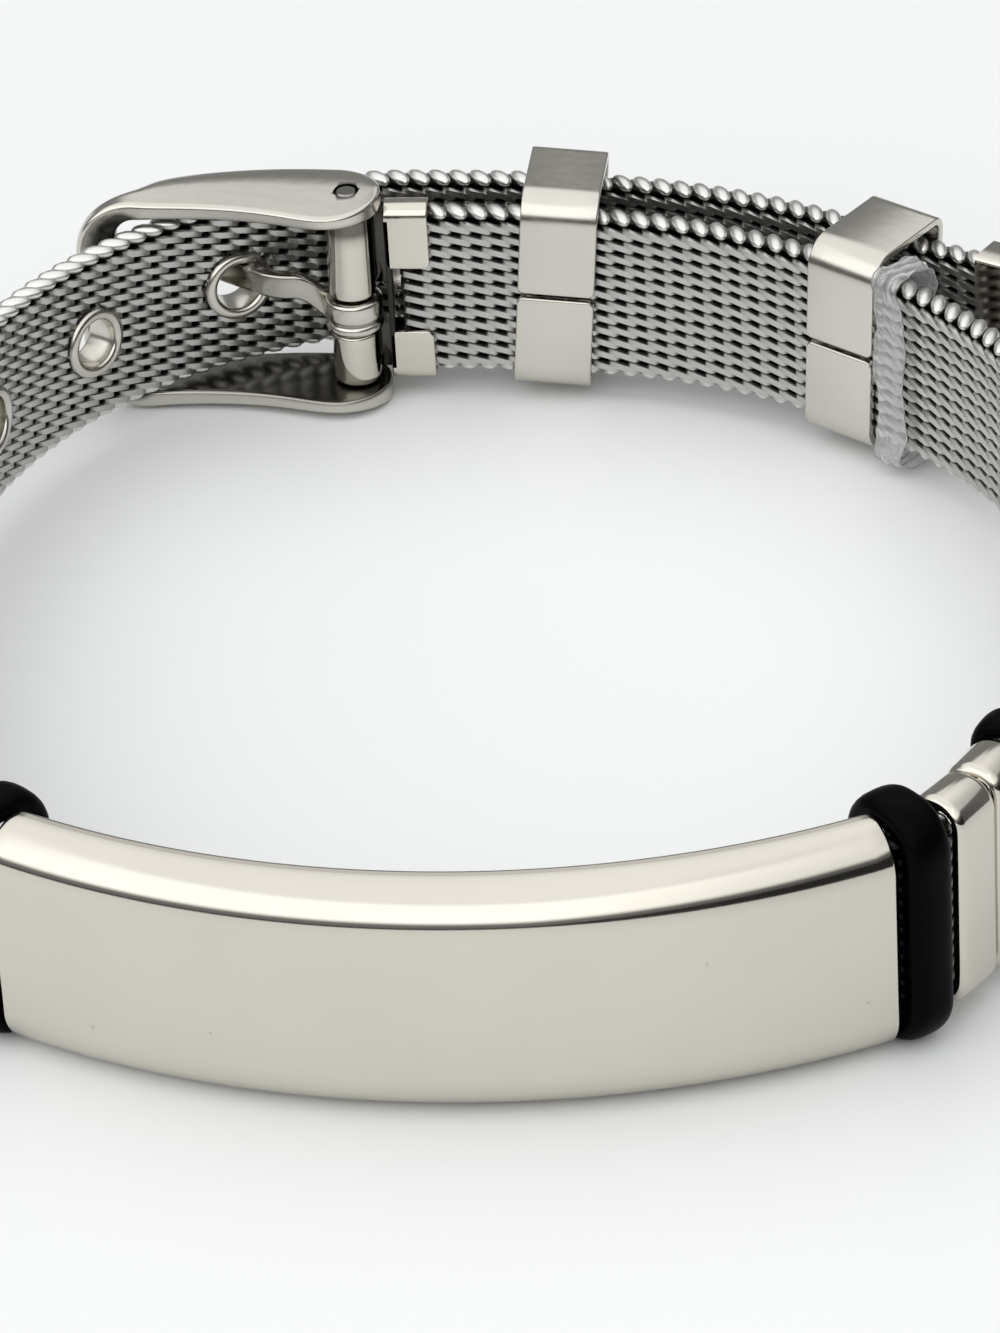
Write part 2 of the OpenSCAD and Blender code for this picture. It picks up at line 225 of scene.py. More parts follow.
def closed_grid(points):
    """A grid closed in both directions, as a shell."""
    return points, [grid_faces(*points.shape[:2], True)]


def capped_grid(points):
    """Rings along a path with a face on each end, as a shell."""
    rows, columns = points.shape[:2]
    ring = np.arange(columns)
    ends = [ring[::-1][None], (ring + (rows - 1) * columns)[None]]
    return points, [grid_faces(rows, columns)] + ends


def outward(points, faces):
    """Turns all the faces round if together they enclose a negative volume."""
    volume = 0.0
    for group in faces:
        a = points[group[:, 0]]
        for k in range(1, group.shape[1] - 1):
            b, c = points[group[:, k]], points[group[:, k + 1]]
            volume += float(np.einsum("ij,ij->i", a, np.cross(b, c)).sum())
    return [group[:, ::-1] for group in faces] if volume < 0 else faces


def joined(shells):
    """Several closed shells, each turned outwards, as one list of points and faces."""
    points, faces, first = [], [], 0
    for shell, groups in shells:
        shell = np.asarray(shell, float).reshape(-1, 3)
        faces += [group + first for group in outward(shell, groups)]
        points.append(shell)
        first += len(shell)
    return np.concatenate(points), faces


def new_piece(name, shells, slot, nodes, sharp=None, light=None, look=None):
    """A mesh object from closed shells, which rides on the part and replaces its nodes.

    sharp is the angle in degrees past which an edge isn't shaded smooth. light is painted light:
    how much light reaches each shell, a number or one number for each of its points, kept as an
    attribute that the material multiplies into the colour. look is the finish, if it isn't the
    slot's own.
    """
    points, faces = joined(shells)
    loops = np.concatenate([group.ravel() for group in faces]).astype(np.int32)
    totals = np.concatenate([np.full(len(group), group.shape[1]) for group in faces])
    mesh = bpy.data.meshes.new(name)
    mesh.vertices.add(len(points))
    mesh.vertices.foreach_set("co", points.astype(np.float32).ravel())
    mesh.loops.add(len(loops))
    mesh.loops.foreach_set("vertex_index", loops)
    mesh.polygons.add(len(totals))
    starts = np.concatenate([[0], np.cumsum(totals)[:-1]]).astype(np.int32)
    mesh.polygons.foreach_set("loop_start", starts)
    mesh.polygons.foreach_set("use_smooth", np.ones(len(totals), bool))
    light = np.concatenate([np.ones(np.size(shell) // 3) * value
                            for (shell, _), value in zip(shells, light or [1] * len(shells))])
    mesh.attributes.new("light", "FLOAT", "POINT").data.foreach_set("value", light)
    mesh.update(calc_edges=True)
    mesh.validate()
    if sharp is not None:
        mesh.set_sharp_from_angle(angle=math.radians(sharp))
    mesh.materials.append(finish(look or slot))
    piece = bpy.data.objects.new(name, mesh)
    bpy.context.scene.collection.objects.link(piece)
    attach(piece, "root")
    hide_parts(*nodes)
    return piece


def both_sides(name, places, slot, node):
    """A rigid piece for each (distance, shape), first right of the plate and then left."""
    sides = [(rows, side, s, local) for rows, side in ((RIGHT_ROWS, 1), (LOOSE_ROWS, -1))
             for s, local in places]
    for i, (rows, side, s, local) in enumerate(sides, 1):
        new_piece(f"{name}_{i}", [closed_grid(set_down(rows, s, local, side))], slot,
                  [f"{node}_{i}"])


def rounded_loop(width, height, radii, steps, spans):
    """Points and outward normals round a rectangle with quarter circles at its corners.

    radii is one radius, or four for the corners ++, -+, -- and +-. Each straight is split
    in spans, closer together at its ends, so the shading turns only on the corners.
    """
    radii = np.broadcast_to(radii, 4)
    angle = np.linspace(0, math.pi / 2, steps + 1)
    share = (1 - np.cos(np.linspace(0, math.pi, spans + 1)[1:-1])) / 2
    signs = [(1, 1), (-1, 1), (-1, -1), (1, -1)]
    points, normals = [], []
    for k, ((sx, sy), r) in enumerate(zip(signs, radii)):
        turn = angle + k * math.pi / 2
        normal = np.stack([np.cos(turn), np.sin(turn)], -1)
        centre = np.array([sx * (width / 2 - r), sy * (height / 2 - r)])
        points.append(centre + r * normal)
        normals.append(normal)
        (nx, ny), r2 = signs[(k + 1) % 4], radii[(k + 1) % 4]
        last = normal[-1]
        begin = centre + r * last
        end = np.array([nx * (width / 2 - r2), ny * (height / 2 - r2)]) + r2 * last
        points.append(begin + (end - begin) * share[:, None])
        normals.append(np.repeat(last[None], len(share), 0))
    return np.concatenate(points), np.concatenate(normals)


def rounded_sleeve(outer, inner, length, edge_r, steps=4):
    """A sleeve along x with rounded rims, closed on itself like a ring.

    A point is outer(u) - inset(v) normal(u) outside and inner(u) inside, where v runs along
    the outside and over both rims.
    """
    points, normals = outer
    angle = np.linspace(0, math.pi / 2, steps + 1)
    rim_x = length / 2 - edge_r + edge_r * np.sin(angle)
    rim_in = edge_r * (1 - np.cos(angle))
    along = np.concatenate([-rim_x[::-1], rim_x])
    inset = np.concatenate([rim_in[::-1], rim_in])
    outside = points[None] - inset[:, None, None] * normals[None]
    loops = np.concatenate([outside, inner[None], inner[None]])
    x = np.concatenate([along, [length / 2, -length / 2]])
    return with_x(x[:, None], loops)


def with_x(x, loops):
    """Loops in (depth, height) with their place along the band in front."""
    return np.concatenate([np.broadcast_to(x, loops.shape[:-1])[..., None], loops], -1)


def section_loop(width, height, r, steps=4):
    """Points round a small rounded rectangle, for sizes that change along a path."""
    angle = (np.arange(4 * (steps + 1)) - np.arange(4).repeat(steps + 1)) * math.pi / (2 * steps)
    sign = np.array([(1, 1), (-1, 1), (-1, -1), (1, -1)]).repeat(steps + 1, 0)
    normal = np.stack([np.cos(angle), np.sin(angle)], -1)
    width, height, r = np.broadcast_arrays(width, height, r)
    r = np.minimum(r, np.minimum(width, height) / 2)
    half = np.stack([width / 2 - r, height / 2 - r], -1)
    return sign * half[..., None, :] + normal * r[..., None, None]


def bent_strip(line, width, thickness, corner_r, edge_r=0.1):
    """A strip of sheet that follows a line in the (depth, height) plane.

    The line's points run along the strip's middle. The section is a rounded rectangle that
    draws in at the strip's two ends, in width by corner_r and in thickness by edge_r.
    """
    step = np.gradient(line, axis=0)
    tangent = step / np.linalg.norm(step, axis=1, keepdims=True)
    normal = np.stack([tangent[:, 1], -tangent[:, 0]], -1)
    gone = gone_along(line)
    near = np.minimum(gone, gone[-1] - gone)
    section = section_loop(width - 2 * drawn_in(corner_r, near),
                           thickness - 2 * drawn_in(edge_r, near), edge_r, 3)
    place = line[:, None, :] + section[..., 1:] * normal[:, None, :]
    return np.concatenate([section[..., :1], place], -1)


def dense_line(points, step=0.12, end=0.5, end_step=0.03):
    """A polyline resampled by distance, closer together near its two ends."""
    points = np.asarray(points, float)
    length = gone_along(points)[-1]
    near = np.arange(0, end, end_step)
    middle = np.linspace(end, length - end, max(3, int((length - 2 * end) / step)))
    return resampled(points, np.concatenate([near, middle, length - near[::-1]]))


def revolved(profile, steps):
    """A closed (radius, height) profile turned about an upright axis."""
    profile = np.asarray(profile, float)
    angle = np.arange(steps)[:, None] * 2 * math.pi / steps
    r, h = profile.T
    return np.stack([r * np.cos(angle), r * np.sin(angle), np.repeat(h[None], steps, 0)], -1)


def about_pin(profile, steps=40):
    """A closed profile turned about the buckle's pin."""
    return on_table(*np.moveaxis(revolved(profile, steps) + (*PIVOT, 0), -1, 0))


def on_pin(profile, steps):
    """A solid bar about the buckle's pin, from a profile that starts and ends at its axis."""
    return capped_grid(np.swapaxes(about_pin(profile, steps), 0, 1))


def ring_wall(r_in, r_out, low, high, edge_r):
    """Closed profile of a ring's wall, a rectangle in (radius, height) with round corners."""
    return (section_loop(r_out - r_in, high - low, edge_r, 3)
            + np.array([(r_in + r_out) / 2, (low + high) / 2]))


def plug(tree, node, sockets):
    """Joins other nodes' outputs to a node's sockets, or sets them to plain values."""
    for key, value in sockets.items():
        if isinstance(value, bpy.types.NodeSocket):
            tree.links.new(value, node.inputs[key])
        else:
            node.inputs[key].default_value = value


def add_node(tree, kind, sockets, output=0, **settings):
    """Adds a node with its settings and sockets, and gives the output that is used."""
    node = tree.nodes.new(kind)
    for key, value in settings.items():
        setattr(node, key, value)
    plug(tree, node, sockets)
    return node.outputs[output]


def new_look(name):
    """A new material, its tree, its shader and the coordinates on the piece."""
    material = bpy.data.materials.new(name)
    material.use_nodes = True
    tree = material.node_tree
    coords = add_node(tree, "ShaderNodeTexCoord", {}, "Object")
    return material, tree, tree.nodes["Principled BSDF"], coords


def noise(tree, coords, scale, detail=3.0, stretch=(1, 1, 1)):
    """Noise on Object coordinates, stretched along an axis where stretch is under one."""
    placed = add_node(tree, "ShaderNodeMapping", {"Vector": coords, "Scale": stretch}, "Vector")
    return add_node(tree, "ShaderNodeTexNoise",
                    {"Vector": placed, "Scale": scale, "Detail": detail}, "Fac")


def ramp(tree, source, stops):
    """A colour ramp on a factor, from (position, colour) stops."""
    colour = add_node(tree, "ShaderNodeValToRGB", {"Fac": source}, "Color")
    elements = colour.node.color_ramp.elements
    while len(elements) < len(stops):
        elements.new(0.5)
    for element, (position, value) in zip(elements, stops):
        element.position = position
        element.color = (*value, 1.0)
    return colour


def scaled(colour, factor):
    """A colour made darker or paler by a factor."""
    return tuple(c * factor for c in colour)


def multiplied(tree, first, second):
    """The product of two sockets' colours."""
    return add_node(tree, "ShaderNodeMix", {"Factor": 1.0, "A": first, "B": second}, "Result",
                    data_type="RGBA", blend_type="MULTIPLY")


def between(tree, source, low, high):
    """A factor from 0 to 1 spread from low to high."""
    return add_node(tree, "ShaderNodeMapRange", {"Value": source, "To Min": low, "To Max": high},
                    "Result")


def bumped(tree, source, strength, depth):
    """A normal bumped by a factor; depth is in metres."""
    return add_node(tree, "ShaderNodeBump",
                    {"Height": source, "Strength": strength, "Distance": depth}, "Normal")


def metal(name, colour, roughness, spread, grain=0.0, grain_scale=900.0, stretch=(1, 1, 1),
          specks=0.0):
    """Steel: colour and roughness drift with a slow noise, and a fine one is its grain.

    The colour is multiplied by the piece's light attribute, which paints light and shade into it.
    specks is the noise's level past which small pale brown spots lie on the metal.
    """
    material, tree, shader, coords = new_look(name)
    slow = noise(tree, coords, 160.0)
    tint = ramp(tree, slow, [(0.3, scaled(colour, 1 - spread)), (0.7, colour)])
    if specks:
        spots = noise(tree, coords, 1500.0, 1.0)
        mask = ramp(tree, spots, [(specks, (1, 1, 1)), (specks + 0.02, (0.85, 0.82, 0.78))])
        tint = multiplied(tree, tint, mask)
    # Painted light and shade: the piece's light attribute scales the colour.
    reach = add_node(tree, "ShaderNodeAttribute", {}, "Fac", attribute_name="light")
    fine = noise(tree, coords, grain_scale, 4.0, stretch)
    plug(tree, shader, {"Metallic": 1.0, "Base Color": multiplied(tree, tint, reach),
                        "Roughness": between(tree, fine, roughness * 0.8, roughness * 1.2)})
    if grain:
        plug(tree, shader, {"Normal": bumped(tree, fine, grain, 0.00002)})
    return material


def silicone(name, colour, roughness):
    """Black silicone: a soft sheen, slightly uneven, with paler dusty patches."""
    material, tree, shader, coords = new_look(name)
    slow = noise(tree, coords, 500.0, 5.0)
    fine = noise(tree, coords, 2600.0, 2.0)
    plug(tree, shader, {
        "Base Color": ramp(tree, slow, [(0.45, colour), (0.8, scaled(colour, 2.5))]),
        "Roughness": between(tree, slow, roughness - 0.08, roughness + 0.12),
        "Specular IOR Level": 0.035,
        "Normal": bumped(tree, fine, 0.25, 0.00003)})
    return material


def clear_film(name, colour, roughness):
    """Thin clear plastic: mostly see-through, with an uneven gloss."""
    material, tree, shader, coords = new_look(name)
    slow = noise(tree, coords, 900.0, 4.0)
    plug(tree, shader, {
        "Base Color": (*colour, 1), "IOR": 1.35, "Transmission Weight": 0.82,
        "Roughness": between(tree, slow, roughness * 0.5, roughness * 1.8)})
    return material


def a_length(name, description, default, least=0.1):
    """A size that the user gives as a length; default and least are in millimetres."""
    return FloatProperty(name=name, description=description, default=default * MM,
                         min=least * MM, unit="LENGTH", precision=5)


def a_colour(name, description, default):
    """A finish's colour, in linear light."""
    return FloatVectorProperty(name=name, description=description, default=default,
                               subtype="COLOR", min=0, max=1)


def a_share(name, description, default):
    """A number from 0 to 1."""
    return FloatProperty(name=name, description=description, default=default,
                         subtype="FACTOR", min=0, max=1)


class WeaveSettings(bpy.types.PropertyGroup):
    column_pitch: a_length("Column pitch", "Distance between wire coils along the band", 1.13, 0.5)
    row_pitch: a_length("Row pitch", "Height of one turn of a coil", 0.746, 0.4)
    coil_width: a_length("Coil width", "Width of a coil; neighbours interlock", 2.0, 0.5)
    wire_width: a_length("Wire width", "Width of the rolled wire on the band's face", 0.47)
    wire_depth: a_length("Wire depth", "Thickness of the rolled wire through the band", 0.32)
    colour: a_colour("Wire colour", "Colour of the woven steel", (0.54, 0.535, 0.515))
    roughness: a_share("Wire roughness", "Roughness of the woven steel", 0.35)


class PlateSettings(bpy.types.PropertyGroup):
    height: a_length("Plate height", "Height of the plate", 12.2)
    thickness: a_length("Plate thickness", "Thickness of the plate", 2.8)
    rounding: a_length("Front rounding", "Radius of the plate's long front edges", 2.2)
    colour: a_colour("Plate colour", "Colour of the polished steel", (0.635, 0.605, 0.54))
    roughness: a_share("Plate roughness", "Roughness of the polished steel", 0.10)


class RingSettings(bpy.types.PropertyGroup):
    thickness: a_length("Ring thickness", "Thickness of the rings beside the plate", 1.35)
    far_thickness: a_length("Far ring thickness", "Thickness of the rings beyond the beads", 1.05)
    slack: a_length("Ring slack", "How far a ring beside the plate stands off inside the band", 1.1)
    colour: a_colour("Silicone colour", "Colour of the rings", (0.0006, 0.0006, 0.0007))
    roughness: a_share("Silicone roughness", "Roughness of the rings", 0.38)


class BeadSettings(bpy.types.PropertyGroup):
    height: a_length("Bead height", "Height of a bead", 11.4)
    thickness: a_length("Bead thickness", "Thickness of a bead", 3.2)
    rim: a_length("Bead rim", "Rounding of a bead's two rims", 0.5)


class KeeperSettings(bpy.types.PropertyGroup):
    width: a_length("Keeper width", "Width of a keeper along the band", 4.2)
    wall: a_length("Keeper wall", "Thickness of a keeper's sheet", 0.45)
    fold: a_length("Keeper fold", "Outer radius of the bends on the seam's side", 1.55)
    back_fold: a_length("Keeper back fold", "Outer radius of the bends on the other side", 0.8)
    seam: a_length("Seam", "Gap between the two ends of a keeper's strip", 0.25)
    colour: a_colour("Satin colour", "Colour of the satin steel", (0.62, 0.60, 0.545))
    roughness: a_share("Satin roughness", "Roughness of the satin steel", 0.20)


class BuckleSettings(bpy.types.PropertyGroup):
    cheek: a_length("Cheek thickness", "Thickness of a buckle cheek", 1.2)
    edge: a_length("Buckle edge", "Rounding of the buckle's edges", 0.28)
    tilt: a_share("Buckle tilt", "Slope of the outer faces towards the front", 0.08)
    crown: a_length("Buckle crown", "How far the outer faces fall at their back edge", 0.35)
    knuckle: a_length("Knuckle radius", "Radius of the clamp's knuckles", 1.3)


class EyeletSettings(bpy.types.PropertyGroup):
    hole: a_length("Eyelet hole", "Radius of an eyelet's hole", 1.35)
    flange: a_length("Eyelet flange", "Radius of an eyelet's flange", 2.0)
    count: IntProperty(
        name="Eyelets", description="How many eyelets the free end has", default=4, min=1, max=4)


class TieSettings(bpy.types.PropertyGroup):
    width: a_length("Tie width", "Width of the clear tie along the band", 2.1)
    colour: a_colour("Tie colour", "Colour of the clear plastic", (0.97, 0.98, 0.98))


class StageSettings(bpy.types.PropertyGroup):
    floor_colour: a_colour("Floor colour", "Colour of the pale floor", (0.885, 0.90, 0.90))
    sky: FloatProperty(
        name="Soft light", description="Strength of the light from all round", default=1.0, min=0)


def finish(name):
    """The finish for a slot of the part, made once from the panel's values."""
    title = f"{name}_finish"
    found = bpy.data.materials.get(title)
    if found:
        return found
    scene = bpy.context.scene
    if name == "clear_plastic":
        return clear_film(title, tuple(scene.bracelet_tie.colour), roughness=0.12)
    settings = {"mesh_steel": scene.bracelet_weave, "polished_steel": scene.bracelet_plate,
                "satin_steel": scene.bracelet_keeper, "black_silicone": scene.bracelet_ring}[name]
    colour, roughness = tuple(settings.colour), settings.roughness
    if name == "mesh_steel":
        return metal(title, colour, roughness, spread=0.10)
    if name == "polished_steel":
        return metal(title, colour, roughness, spread=0.03, specks=0.81)
    if name == "satin_steel":
        return metal(title, colour, roughness, spread=0.07, grain=0.35, grain_scale=1500.0,
                     stretch=(1, 1, 0.12))
    return silicone(title, colour, roughness)


class BRACELET_OT_stage(bpy.types.Operator):
    """Adds the camera, the pale floor and the soft studio light"""

    bl_idname = "bracelet.add_stage"
    bl_label = "Stage"

    def execute(self, context):
        settings = context.scene.bracelet_stage
        self.camera(context)
        self.floor(context, tuple(settings.floor_colour))
        self.sky(context, settings.sky)
        view = context.scene.view_settings
        view.view_transform = "Standard"
        view.look = "None"
        view.exposure = 0.0
        view.gamma = 1.0
        return {"FINISHED"}

    def camera(self, context):
        """A long lens, placed by the rows of holes, the plate's edges and the keepers."""
        focal_px, photo_h, sensor = 6500, 1333, 36
        data = bpy.data.cameras.new("view")
        data.lens = focal_px / photo_h * sensor
        data.sensor_width = sensor
        data.clip_start = 0.01
        camera = bpy.data.objects.new("view", data)
        camera.matrix_world = Matrix((
            (0.995092, -0.001948, 0.098943, 0.03272),
            (0.084789, 0.532367, -0.842257, -0.278379),
            (-0.051033, 0.846511, 0.529919, 0.176954),
            (0, 0, 0, 1)))
        context.scene.collection.objects.link(camera)
        context.scene.camera = camera

    def floor(self, context, colour):
        """A wide square of pale paper with a faint, slow drift in its tone."""
        size = 2.0
        square = [(-size, -size, 0), (size, -size, 0), (size, size, 0), (-size, size, 0)]
        mesh = bpy.data.meshes.new("floor")
        mesh.from_pydata(square, [], [(0, 1, 2, 3)])
        floor = bpy.data.objects.new("floor", mesh)
        context.scene.collection.objects.link(floor)
        material, tree, shader, coords = new_look("floor_paper")
        slow = noise(tree, coords, 12.0, 2.0)
        plug(tree, shader, {
            "Base Color": ramp(tree, slow, [(0.3, scaled(colour, 0.985)), (0.7, colour)]),
            "Roughness": 0.42, "Specular IOR Level": 0.35})
        mesh.materials.append(material)

    def sky(self, context, strength):
        """A white room: bright walls and ceiling in front, a dim back wall, dark near the floor.

        The light goes by the direction's height. On the front's side its bands lie higher
        towards the right, by 0.45 of the direction's share to the right.
        """
        world = bpy.data.worlds.new("studio")
        world.use_nodes = True
        context.scene.world = world
        tree = world.node_tree
        facing = add_node(tree, "ShaderNodeTexCoord", {}, "Generated")
        split = add_node(tree, "ShaderNodeSeparateXYZ", {"Vector": facing}).node
        x, y, z = (split.outputs[key] for key in "XYZ")
        right = add_node(tree, "ShaderNodeMath", {0: x, 1: 0.1}, operation="MAXIMUM")
        shifted = add_node(tree, "ShaderNodeMath", {0: right, 1: -0.45, 2: z},
                           operation="MULTIPLY_ADD")
        front = self.levels(tree, shifted, [
            (0, 0.04), (0.03, 0.2), (0.14, 0.24), (0.25, 1.6), (0.31, 1.75), (0.78, 1.7),
            (0.84, 1.3), (1, 1.3)])
        back = self.levels(tree, z, [
            (0, 0.5), (0.02, 0.26), (0.50, 0.26), (0.57, 1.0), (0.75, 1.25), (1, 1.3)])
        share = add_node(tree, "ShaderNodeMapRange",
                         {"Value": y, "From Min": -0.3, "From Max": 0.3}, "Result")
        room = add_node(tree, "ShaderNodeMix", {"Factor": share, "A": front, "B": back}, "Result",
                        data_type="RGBA")
        dimmer = add_node(tree, "ShaderNodeMapRange",
                          {"Value": x, "From Min": 0.15, "From Max": 0.6,
                           "To Min": 2 * strength, "To Max": 1.3 * strength}, "Result")
        plug(tree, tree.nodes["Background"], {"Color": room, "Strength": dimmer})

    def levels(self, tree, height, stops):
        """Half the light at each height of direction, as a ramp."""
        return ramp(tree, height, [(position, (value / 2,) * 3) for position, value in stops])


def wire_coil(settings, turning):
    """One flattened coil of wire across the band, as rings of points round its middle line.

    Half a turn goes over one face: columns are x / half width, y / half depth and z / row
    pitch. The other half is the same with x and y negated, half a pitch further on.
    turning is 1 or -1 for the sense in which the coil winds.
    """
    edge_margin, lean = 0.7, 0.35
    pitch = settings.row_pitch / MM
    half_w, half_d = settings.wire_width / MM / 2, settings.wire_depth / MM / 2
    a, b = settings.coil_width / MM / 2 - half_d, BAND_T / 2 - half_d
    half_turn = np.array([(-1, 0, 0), (-0.96, 0.7, 0), (-0.8, 0.98, 0.02),
                          (0, 1, 0.25), (0.8, 0.98, 0.48), (0.96, 0.7, 0.5)])
    turn = np.concatenate([half_turn, half_turn * (-1, -1, 1) + (0, 0, 0.5)])
    turns = round((BAND_W - edge_margin - 2 * half_w) / pitch)
    line = (turn[None] + np.arange(turns)[:, None, None] * np.array([0, 0, 1])).reshape(-1, 3)
    line = np.concatenate([line, line[-1:] * (-1, 0, 1)]) * (a * turning, b, pitch)
    line[:, 2] -= (line[0, 2] + line[-1, 2]) / 2
    tangent = np.gradient(line, axis=0)
    tangent /= np.linalg.norm(tangent, axis=1, keepdims=True)
    out = np.stack([line[:, 0] / a ** 2 * lean, line[:, 1] / b ** 2, np.zeros(len(line))], -1)
    out -= tangent * np.einsum("ij,ij->i", out, tangent)[:, None]
    out /= np.linalg.norm(out, axis=1, keepdims=True)
    across = np.cross(tangent, out)
    section = np.array([(1, 0.72), (0, 1), (-1, 0.72), (-1, -0.72), (0, -1), (1, -0.72)])
    rings = (line[:, None] + half_d * section[None, :, :1] * out[:, None]
             + half_w * section[None, :, 1:] * across[:, None])
    return line, rings


def coil_rows(settings, places, side, holes):
    """A row of coils along the band, left out where an eyelet's barrel goes through."""
    wire_gap = 0.12
    line, rings = wire_coil(settings, side)
    centre_s = line[None, :, 0] + places[:, None]
    centre_z = np.repeat(line[None, :, 2], len(places), 0)
    keep = np.ones(centre_s.shape, bool)
    for hole in holes:
        keep &= np.hypot(centre_s - hole, centre_z) > EYELET_BARREL_R + wire_gap
    return tube_shells(repeated(rings, places), keep)


def repeated(shape, places, height=0):
    """A shape at each place along the band, moved up by height."""
    points = np.repeat(shape[None], len(places), 0)
    points[..., 0] += places[:, None, None]
    points[..., 2] += height
    return points


def tube_shells(points, keep):
    """Many tubes at once: points is (tube, ring, side, 3), and only kept rings are joined."""
    tubes, n, sides = points.shape[:3]
    first = (np.arange(tubes)[:, None] * n + np.arange(n)[None]) * sides
    base = first[:, :-1][keep[:, :-1] & keep[:, 1:]]
    j = np.arange(sides)
    j2 = (j + 1) % sides
    quads = np.stack([base[:, None] + j, base[:, None] + j2,
                      base[:, None] + sides + j2, base[:, None] + sides + j], -1).reshape(-1, 4)
    starts = keep.copy()
    starts[:, 1:] &= ~keep[:, :-1]
    ends = keep.copy()
    ends[:, :-1] &= ~keep[:, 1:]
    alone = starts & ends
    caps = np.concatenate([first[starts & ~alone][:, None] + j[::-1],
                           first[ends & ~alone][:, None] + j])
    used = np.zeros(tubes * n * sides, bool)
    used[quads.ravel()] = True
    number = np.cumsum(used) - 1
    return points.reshape(-1, 3)[used], [number[quads], number[caps]]


def edge_knots(places, side):
    """The welded wire ends on both edges of the band, one lump for each coil.

    A lump is a ball stretched through the band's depth and sheared along it by 0.6 of its
    depth, as the wires lie.
    """
    rings, around, pole = 7, 10, 0.12
    half_length, half_depth, half_height, shear = 0.54, 0.7, 0.36, 0.6
    phi = np.linspace(pole, math.pi - pole, rings)[:, None]
    theta = np.arange(around)[None] * 2 * math.pi / around
    y = np.repeat(half_depth * np.cos(phi), around, 1)
    x = half_length * np.sin(phi) * np.cos(theta) - shear * side * y
    z = half_height * np.sin(phi) * np.sin(theta)
    ball = np.stack([x, y, z], -1)
    whole = np.ones((len(places), rings), bool)
    return [tube_shells(repeated(ball, places, level * (BAND_W / 2 - half_height)), whole)
            for level in (-1, 1)]


def painted_shade_core(places, pitch, holes):
    """Near-black slabs in the middle of the weave, one for each coil, that stop the view through
    it: painted shade for the weave's shadowed inside.

    A coil that an eyelet's barrel goes through has one slab above it and one below.
    """
    half_height, half_depth = 4.35, 0.1
    reach = EYELET_BARREL_R + 0.15
    corner = np.array([(-1, -1), (1, -1), (1, 1), (-1, 1)]) * (pitch / 2 + 0.02, half_depth)
    shells = []
    for place in places:
        gaps = [max(abs(place - hole) - pitch / 2, 0) for hole in holes]
        off = [math.sqrt(reach ** 2 - gap ** 2) for gap in gaps if gap < reach]
        spans = ([(-half_height, -off[0]), (off[0], half_height)] if off
                 else [(-half_height, half_height)])
        for low, high in spans:
            ring = np.concatenate([corner + (place, 0), np.full((4, 1), low)], 1)
            shells.append(capped_grid(np.stack([ring, ring + (0, 0, high - low)])))
    return shells


class BRACELET_OT_mesh_band(bpy.types.Operator):
    """Weaves the steel band from flattened coils of wire"""

    bl_idname = "bracelet.add_mesh_band"
    bl_label = "Woven band"

    def execute(self, context):
        settings = context.scene.bracelet_weave
        pitch = settings.column_pitch / MM
        in_plate, in_clamp, in_tip = 1.0, 0.5, 2.4
        right = np.arange(-in_plate, RIGHT_LENGTH - in_clamp, pitch)
        left = np.arange(-in_plate, LEFT_LENGTH + 0.3, pitch)
        tail = np.arange(left[-1] + pitch, LOOSE_LENGTH - in_tip, pitch)
        for name, rows, places, side, holes in (
                ("band_right", RIGHT_ROWS, right, 1, []),
                ("band_left", LOOSE_ROWS, left, -1, EYELETS_S),
                ("band_tail", LOOSE_ROWS, tail, -1, EYELETS_S)):
            coils = coil_rows(settings, places, side, holes)
            knots = edge_knots(places, side)
            core = painted_shade_core(places, pitch, holes)
            # Painted shade: wires deep in the weave and the core slabs are darker, and all points
            # before the first bead, by the plate's end and the near ring, are almost black. The
            # edge knots get a painted highlight.
            rise = eased(part_way(np.abs(coils[0][:, 1]), 0.3, 0.6))
            shells = [coils] + knots + core
            light = [DEEP_WIRE_LIGHT + (1 - DEEP_WIRE_LIGHT) * rise]
            light += [KNOT_LIGHT] * len(knots) + [CORE_LIGHT] * len(core)
            under = [np.ravel(points[..., 0]) < BEAD_1_S - BEAD_W / 2 for points, _ in shells]
            light = [value * np.where(hidden, UNDER_RING_LIGHT, 1)
                     for value, hidden in zip(light, under)]
            bent = [(lay_along(rows, points, side), faces) for points, faces in shells]
            new_piece(name, bent, "mesh_steel", ["mesh_band"], 50, light)
        return {"FINISHED"}


class BRACELET_OT_plate(bpy.types.Operator):
    """Adds the curved polished plate, a sleeve that the band runs through"""

    bl_idname = "bracelet.add_plate"
    bl_label = "Plate"

    def execute(self, context):
        settings = context.scene.bracelet_plate
        thick, height = settings.thickness / MM, settings.height / MM
        front_r, back_r, hollow_gap = settings.rounding / MM, 0.3, 0.8
        points, normals = rounded_loop(thick, height, (front_r, back_r, back_r, front_r),
                                       steps=14, spans=12)
        inner = rounded_loop(BAND_T + SLIDE_GAP, BAND_W + hollow_gap, back_r,
                             steps=14, spans=12)[0]
        outer = (points + np.array([PLATE_MID_Y - thick / 2, 0]), normals)
        sleeve = self.divided(rounded_sleeve(outer, inner, PLATE_R * 2 * HALF_ANGLE,
                                             edge_r=0.18))
        angle = sleeve[..., 0] / PLATE_R
        radius = PLATE_R + sleeve[..., 1]
        points = on_table(radius * np.sin(angle), PLATE_MID_Y + PLATE_R - radius * np.cos(angle),
                          sleeve[..., 2] - PLATE_DROP)
        new_piece("polished_plate", [closed_grid(points)], "polished_steel", ["id_plate"])
        return {"FINISHED"}

    def divided(self, sleeve):
        """Splits the two long runs of a sleeve in 60, so that they can be bent."""
        split = np.linspace(0, 1, 61)[1:-1]
        parts, last = [], 0
        for k in range(len(sleeve)):
            a, b = sleeve[k - 1], sleeve[k]
            if abs(b[0, 0] - a[0, 0]) > 1:
                parts += [sleeve[last:k], a[None] + (b - a)[None] * split[:, None, None]]
                last = k
        return np.concatenate(parts + [sleeve[last:]])


